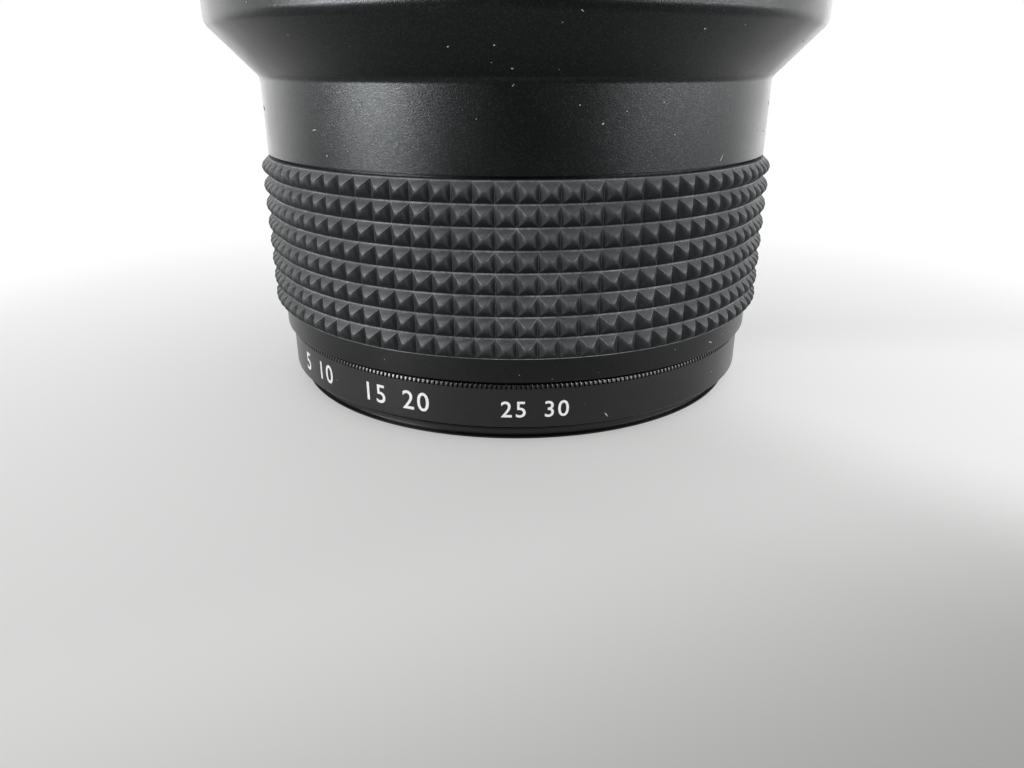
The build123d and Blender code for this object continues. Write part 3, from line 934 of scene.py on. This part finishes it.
class LENS_OT_barrel(bpy.types.Operator):
    """Turns the main barrel: grip seat, smooth barrel, cone and front cylinder"""

    bl_idname = "lens.barrel"
    bl_label = "Main barrel"

    def execute(self, context):
        sizes = context.scene.lens_sizes
        baffle_top = top("light_baffle")
        turn_piece("barrel_shell", [
            (BARREL_BORE, GRIP_BOTTOM),
            (GRIP_SEAT, GRIP_BOTTOM),
            (GRIP_SEAT, SHOULDER),
            (BARREL_RADIUS, SHOULDER, FINE_ROUNDING),
            (BARREL_RADIUS, CONE_BOTTOM, CONE_FOOT_ROUNDING),
            (FRONT_RADIUS, CONE_TOP, CONE_RIM_ROUNDING),
            (FRONT_RADIUS, FRONT_SHOULDER, sizes.edge_break),
            (FRONT_SPIGOT, FRONT_SHOULDER),
            (FRONT_SPIGOT, SPIGOT_TOP),
            (RETAINER_THREAD, SPIGOT_TOP),
            (RETAINER_THREAD, FRONT_LAND - THREAD_RUNOUT),
            (FRONT_BORE, FRONT_LAND - THREAD_RUNOUT),
            (FRONT_BORE, LEDGE + FRONT_BORE - POCKET_RADIUS),
            (POCKET_RADIUS, LEDGE),
            (SECOND_THREAD, LEDGE),
            (SECOND_THREAD, SECOND_LAND - THREAD_RUNOUT),
            (SECOND_BORE, SECOND_LAND - THREAD_RUNOUT),
            (SECOND_BORE, SECOND_SEAT),
            (LEDGE_OPENING, SECOND_SEAT),
            (LEDGE_OPENING, baffle_top),
            (BARREL_BORE, baffle_top),
        ], sizes.turning_steps)
        finish_piece("satin_black", "satin_black_metal", "main_barrel")
        return {"FINISHED"}


class LENS_OT_front_ring(bpy.types.Operator):
    """Turns the front ring and winds its front thread"""

    bl_idname = "lens.front_ring"
    bl_label = "Front ring"

    def execute(self, context):
        sizes = context.scene.lens_sizes
        edge = sizes.edge_break
        turn_piece("front_rim", [
            (FRONT_SPIGOT + RUNNING_GAP, FRONT_SHOULDER),
            (FRONT_RADIUS, FRONT_SHOULDER, RIM_ROUNDING),
            (FRONT_RADIUS, FRONT_RIM, RIM_ROUNDING),
            (FRONT_THREAD + RIM_CHAMFER, FRONT_RIM, edge),
            (FRONT_THREAD, FRONT_RIM - RIM_CHAMFER),
            (FRONT_THREAD, THREAD_FLOOR),
            (FRONT_LIP, THREAD_FLOOR, edge),
            (FRONT_LIP, SPIGOT_TOP + RUNNING_GAP),
            (FRONT_SPIGOT + RUNNING_GAP, SPIGOT_TOP + RUNNING_GAP),
        ], sizes.turning_steps)
        finish_piece("satin_black", "satin_black_metal", "front_ring")
        wind_thread("front_thread", FRONT_THREAD, FRONT_THREAD - FRONT_THREAD_DEPTH,
                    THREAD_FLOOR + THREAD_RELIEF, FRONT_RIM - RIM_CHAMFER, sizes)
        finish_piece("satin_black", "satin_black_metal")
        return {"FINISHED"}


class LENS_OT_mount_ring(bpy.types.Operator):
    """Turns the ring below the grip and winds its rear thread"""

    bl_idname = "lens.mount_ring"
    bl_label = "Rear mount ring"

    def execute(self, context):
        sizes = context.scene.lens_sizes
        edge = sizes.edge_break
        thread_end = bottom("rear_mount_ring")
        turn_piece("mount_flange", [
            (MOUNT_BORE + MOUNT_CHAMFER, thread_end),
            (THREAD_ROOT, thread_end, edge),
            (THREAD_ROOT, FILTER_TOP),
            (COLLAR_RADIUS, FILTER_TOP, SMALL_ROUNDING),
            (COLLAR_RADIUS, FLANGE_BOTTOM),
            (FLANGE_RADIUS, FLANGE_BOTTOM, edge),
            (FLANGE_RADIUS, GRIP_BOTTOM, edge),
            (SPIGOT_RADIUS, GRIP_BOTTOM),
            (SPIGOT_RADIUS, top("rear_mount_ring")),
            (MOUNT_BORE, top("rear_mount_ring")),
            (MOUNT_BORE, thread_end + MOUNT_CHAMFER),
        ], sizes.turning_steps)
        finish_piece("flange_black", "satin_black_metal", "rear_mount_ring")
        wind_thread("rear_thread", THREAD_ROOT, THREAD_CREST, *REAR_THREAD, sizes)
        finish_piece("flange_black", "satin_black_metal")
        return {"FINISHED"}


class LENS_OT_grip(bpy.types.Operator):
    """Models one column of rubber studs and repeats it round the grip"""

    bl_idname = "lens.grip"
    bl_label = "Rubber grip"

    def execute(self, context):
        sizes = context.scene.lens_sizes
        rows, ledge = sizes.grip_rows, sizes.grip_ledge
        pitch = (GRIP_TOP - GRIP_BOTTOM) / rows
        half_column = pi / sizes.grip_columns
        side = STUD_BASE * sin(half_column) / cos(half_column)
        start_piece("grip_sleeve")
        move(STUD_BASE, -side, GRIP_BOTTOM)
        extrude(0, 2 * side, 0)
        select_mesh()
        for rise in [ledge / 2] + [pitch - ledge, ledge] * (rows - 1) + [pitch - ledge, ledge / 2]:
            extrude(0, 0, rise)
        select_mesh()
        bpy.ops.mesh.normals_make_consistent(inside=False)
        select_where(lambda f: f.calc_area() > side * pitch, "faces")
        self.raise_studs(side)
        self.close_back()
        select_mesh()
        rotate(-half_column, "Z")
        spin_mesh(sizes.grip_columns, copies=True)
        finish_piece("grip_rubber", "grip_rubber", "rubber_grip", smooth=34)
        return {"FINISHED"}

    def raise_studs(self, side):
        """Insets each stud's face in steps, so its four sides round off towards the tip."""
        for share, rise in STUD_STEPS:
            bpy.ops.mesh.inset(thickness=share * side, depth=rise * MM, use_individual=True)
        # Only the edges that run from a stud's corner to its tip lean
        select_where(lambda e: abs(e.verts[0].co.x - e.verts[1].co.x) > HAIR, "edges")
        bpy.ops.mesh.bevel(offset=RIDGE_ROUNDING, segments=1, affect="EDGES")

    def close_back(self):
        """Adds the top, the inside and the bottom of the sleeve to the column."""
        top_edge = GRIP_TOP - SAME_PLACE
        select_where(lambda e: e.is_boundary and min(v.co.z for v in e.verts) > top_edge, "edges")
        self.extrude_to(GRIP_SEAT + RUNNING_GAP)
        extrude(0, 0, GRIP_BOTTOM - GRIP_TOP)
        self.extrude_to(STUD_BASE)

    def extrude_to(self, radius):
        """Extrudes the selected edge to another radius, kept inside the column's two planes."""
        extrude(0, 0, 0)
        here = max(v.co.x for v in bmesh.from_edit_mesh(bpy.context.object.data).verts if v.select)
        resize(radius / here, radius / here, 1)


class LENS_OT_filter_ring(bpy.types.Operator):
    """Turns the filter ring with its knurled edge, and winds the thread of its foot"""

    bl_idname = "lens.filter_ring"
    bl_label = "Filter ring"

    def execute(self, context):
        sizes = context.scene.lens_sizes
        edge = sizes.edge_break
        knurl_low = FILTER_TOP - sizes.knurl_height
        pane_bottom, pane_top = bottom("filter_glass"), top("filter_glass")
        retainer_top = top("filter_retaining_ring")
        turn_piece("filter_rim", [
            (LIP_RADIUS, 0, FINE_ROUNDING),
            (THREAD_CREST, 0, edge),
            (THREAD_CREST, FOOT_COLLAR),
            (THREAD_ROOT, FOOT_COLLAR + 0.1 * MM),
            (THREAD_ROOT, FOOT_HEIGHT),
            (BAND_RADIUS, FOOT_HEIGHT, BAND_ROUNDING),
            (BAND_RADIUS, knurl_low),
            (BAND_RADIUS, knurl_low + KNURL_RUNOUT),
            (BAND_RADIUS, FILTER_TOP - KNURL_CHAMFER_HEIGHT),
            (BAND_RADIUS - KNURL_CHAMFER_DEPTH, FILTER_TOP),
            (FILTER_BORE, FILTER_TOP, SMALL_ROUNDING),
            (FILTER_BORE, retainer_top),
            (RETAINER_BORE, retainer_top),
            (RETAINER_BORE, pane_top),
            (PANE_BORE, pane_top),
            (PANE_BORE, pane_bottom),
            (LIP_RADIUS, pane_bottom, edge),
        ], 3 * sizes.knurl_teeth)
        self.cut_knurl(sizes, knurl_low)
        finish_piece("ring_black", "filter_black_metal", "filter_ring", body="filter_frame",
                     smooth=30)
        wind_thread("filter_foot_thread", THREAD_ROOT, THREAD_CREST, *FOOT_THREAD, sizes)
        finish_piece("flange_black", "filter_black_metal", body="filter_frame")
        return {"FINISHED"}

    def cut_knurl(self, sizes, knurl_low):
        """Moves every third line of the upper edge inwards, which leaves flat teeth between."""
        step = 2 * pi / (3 * sizes.knurl_teeth)
        select_where(lambda v: v.co.z > knurl_low + HAIR
                     and hypot(v.co.x, v.co.y) > BAND_RADIUS - KNURL_REACH
                     and round(atan2(v.co.y, v.co.x) / step) % 3 == 0)
        factor = 1 - sizes.knurl_depth / BAND_RADIUS
        resize(factor, factor, 1)


class LENS_OT_numbers(bpy.types.Operator):
    """Paints plain numbers on the filter ring's band"""

    bl_idname = "lens.numbers"
    bl_label = "Numbers"

    def execute(self, context):
        sizes = context.scene.lens_sizes
        digits = []
        for text, turn, height, scale in NUMBERS:
            size = scale * sizes.digit_height
            for place, letter in enumerate(text):
                if letter != " ":
                    steps = place - (len(text) - 1) / 2
                    angle = radians(turn) + steps * (DIGIT_ADVANCE * size / BAND_RADIUS)
                    digits.append(self.add_digit(letter, angle, height * MM, size))
        join_pieces(digits, "band_numbers")
        finish_piece("number_paint", "filter_black_metal", body="filter_frame")
        return {"FINISHED"}

    def add_digit(self, letter, angle, height, size):
        """One digit as a thin plate, tangent to the band at an angle from the camera."""
        deselect()
        bpy.ops.object.text_add()
        text = bpy.context.object
        text.data.body = letter
        text.data.size = size / DIGIT_SHARE
        text.data.offset = STROKE_WIDENING * size
        text.data.extrude = PAINT_THICKNESS
        text.data.resolution_u = 4
        bpy.ops.object.convert(target="MESH")
        digit = bpy.context.object
        set_mode("EDIT")
        close_mesh()
        across = [v.co.x for v in bmesh.from_edit_mesh(digit.data).verts]
        move(-(min(across) + max(across)) / 2, 0, 0)
        rotate(-pi / 2, "X")
        move(0, -BAND_RADIUS, height)
        rotate(-angle, "Z")
        set_mode("OBJECT")
        return digit


class LENS_OT_inner_parts(bpy.types.Operator):
    """Gives the glasses and the pieces inside the lens their finishes"""

    bl_idname = "lens.inner_parts"
    bl_label = "Glasses and inner parts"

    def execute(self, context):
        worn_by = {
            "coated_glass": ["front_element", "second_element", "rear_positive_element",
                             "rear_negative_element"],
            "filter_glass": ["filter_glass"],
            "matt_black": ["front_retaining_ring", "second_retaining_ring", "light_baffle",
                           "rear_cell", "rear_retaining_ring", "filter_retaining_ring"],
            "black_film": ["front_shim"],
            "brass": ["rear_shim"],
            "steel": ["mount_set_screws"],
        }
        for finish, nodes in worn_by.items():
            for node in nodes:
                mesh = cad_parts[node].data
                mesh.materials.clear()
                mesh.materials.append(finish_named(finish))
        return {"FINISHED"}


class LENS_OT_edge_black(bpy.types.Operator):
    """Blackens the ground edges of the glasses with a thin band just under their surface"""

    bl_idname = "lens.edge_black"
    bl_label = "Blackened glass edges"

    def execute(self, context):
        steps = context.scene.lens_sizes.turning_steps
        edge, seat = outer_radius("front_element"), outer_radius("front_shim")
        back = bottom("front_element")
        self.blacken("front_edge_black", [
            (FRONT_CLEAR, FRONT_LAND),
            (edge, FRONT_LAND),
            (edge, back + edge - seat),
            (seat, back),
            (FRONT_HOLLOW, back),
        ], steps)
        edge = outer_radius("second_element")
        land = edge - EDGE_LAND
        for name, high, low in (
                ("second_edge_black", SECOND_LAND, bottom("second_element")),
                ("rear_edge_black", top("rear_cell") - CELL_LIP, top("rear_retaining_ring"))):
            self.blacken(name, [(land, high), (edge, high), (edge, low), (land, low)], steps)
        return {"FINISHED"}

    def blacken(self, name, corners, steps):
        """A closed thin band that follows the ground edge a little inside the glass."""
        middle = [sum(corner[axis] for corner in corners) / len(corners) for axis in (0, 1)]
        outer, inner = ([(r + share * (middle[0] - r), z + share * (middle[1] - z))
                         for r, z in corners] for share in BLACKENING)
        turn_piece(name, outer + inner[::-1], steps)
        finish_piece("black_film", "black_film")


class LENS_OT_dust(bpy.types.Operator):
    """Scatters dust flecks and lint over the barrel and the rings"""

    bl_idname = "lens.dust"
    bl_label = "Dust and lint"

    def execute(self, context):
        chance = random.Random(7)
        self.scatter("barrel_dust", self.barrel_places(chance), chance)
        finish_piece("lint", "satin_black_metal", smooth=180)
        band = [(chance.uniform(0, 2 * pi), chance.uniform(*BAND_SPAN) * MM, BAND_RADIUS)
                for _ in range(BAND_FLECKS)]
        self.scatter("filter_dust", band, chance)
        finish_piece("lint", "filter_black_metal", body="filter_frame", smooth=180)
        return {"FINISHED"}

    def barrel_places(self, chance):
        """Places on the smooth barrel, the cone, the front cylinder and the mount flange."""
        places = []
        for _ in range(BARREL_FLECKS):
            turn = chance.uniform(0, 2 * pi)
            height = chance.uniform(*BARREL_SPAN)
            # On the widest part none lie at the four sides, where they would widen the box
            if height < CONE_TOP - 1 * MM or abs(sin(2 * turn)) > 0.15:
                places.append((turn, height, self.barrel_radius(height)))
        for _ in range(FLANGE_FLECKS):
            turn = chance.uniform(0, 2 * pi)
            height = chance.uniform(*FLANGE_SPAN)
            places.append((turn, height, FLANGE_RADIUS))
        for across, height in FLANGE_LINT:
            places.append((radians(across - 90), height * MM, FLANGE_RADIUS))
        return places

    def barrel_radius(self, height):
        """Radius of the barrel's outside at a height above the grip."""
        share = (height - CONE_BOTTOM) / (CONE_TOP - CONE_BOTTOM)
        return BARREL_RADIUS + (FRONT_RADIUS - BARREL_RADIUS) * min(max(share, 0), 1)

    def scatter(self, name, places, chance):
        """Joins flecks at those places into one piece."""
        join_pieces([self.add_fleck(*place, chance) for place in places], name)

    def add_fleck(self, turn, height, radius, chance):
        """A small squashed grain, now and then drawn out into a fibre, lying on the surface."""
        size = chance.uniform(*FLECK_SIZE) * MM
        stretch = FIBRE_STRETCH if chance.random() < FIBRE_SHARE else GRAIN_STRETCH
        longer = chance.uniform(*stretch)
        tilt = chance.uniform(0, pi)
        deselect()
        bpy.ops.mesh.primitive_ico_sphere_add(subdivisions=1, radius=1)
        fleck = bpy.context.object
        set_mode("EDIT")
        select_mesh()
        resize(0.5 * size, size, size * longer)
        rotate(tilt, "X")
        move(radius + 0.2 * size, 0, height)
        rotate(turn, "Z")
        set_mode("OBJECT")
        return fleck


class LENS_PT_sidebar(bpy.types.Panel):
    """Lists the lens's sizes, colours and pieces"""

    bl_idname = "LENS_PT_sidebar"
    bl_label = "Conversion lens"
    bl_space_type = "VIEW_3D"
    bl_region_type = "UI"
    bl_category = "Lens"

    def draw(self, context):
        for group in (getattr(context.scene, setting) for setting in SETTINGS):
            box = self.layout.box()
            for name in group.bl_rna.properties.keys():
                if name not in ("name", "rna_type"):
                    box.prop(group, name)
        for operator in OPERATORS:
            self.layout.operator(operator.bl_idname)


SETTINGS = {"lens_sizes": LensSizes, "lens_finish": LensFinish, "stage_look": StageLook}
OPERATORS = (
    LENS_OT_stage,
    LENS_OT_barrel,
    LENS_OT_front_ring,
    LENS_OT_mount_ring,
    LENS_OT_grip,
    LENS_OT_filter_ring,
    LENS_OT_numbers,
    LENS_OT_inner_parts,
    LENS_OT_edge_black,
    LENS_OT_dust,
)


def register():
    for item in (*SETTINGS.values(), *OPERATORS, LENS_PT_sidebar):
        bpy.utils.register_class(item)
    for setting, group in SETTINGS.items():
        setattr(bpy.types.Scene, setting, bpy.props.PointerProperty(type=group))


def unregister():
    for setting in SETTINGS:
        delattr(bpy.types.Scene, setting)
    for item in (LENS_PT_sidebar, *OPERATORS, *SETTINGS.values()):
        bpy.utils.unregister_class(item)


def main():
    register()
    bpy.ops.lens.stage()
    bpy.ops.lens.barrel()
    bpy.ops.lens.front_ring()
    bpy.ops.lens.mount_ring()
    bpy.ops.lens.grip()
    bpy.ops.lens.filter_ring()
    bpy.ops.lens.numbers()
    bpy.ops.lens.inner_parts()
    bpy.ops.lens.edge_black()
    bpy.ops.lens.dust()


if __name__ == "__main__":
    main()
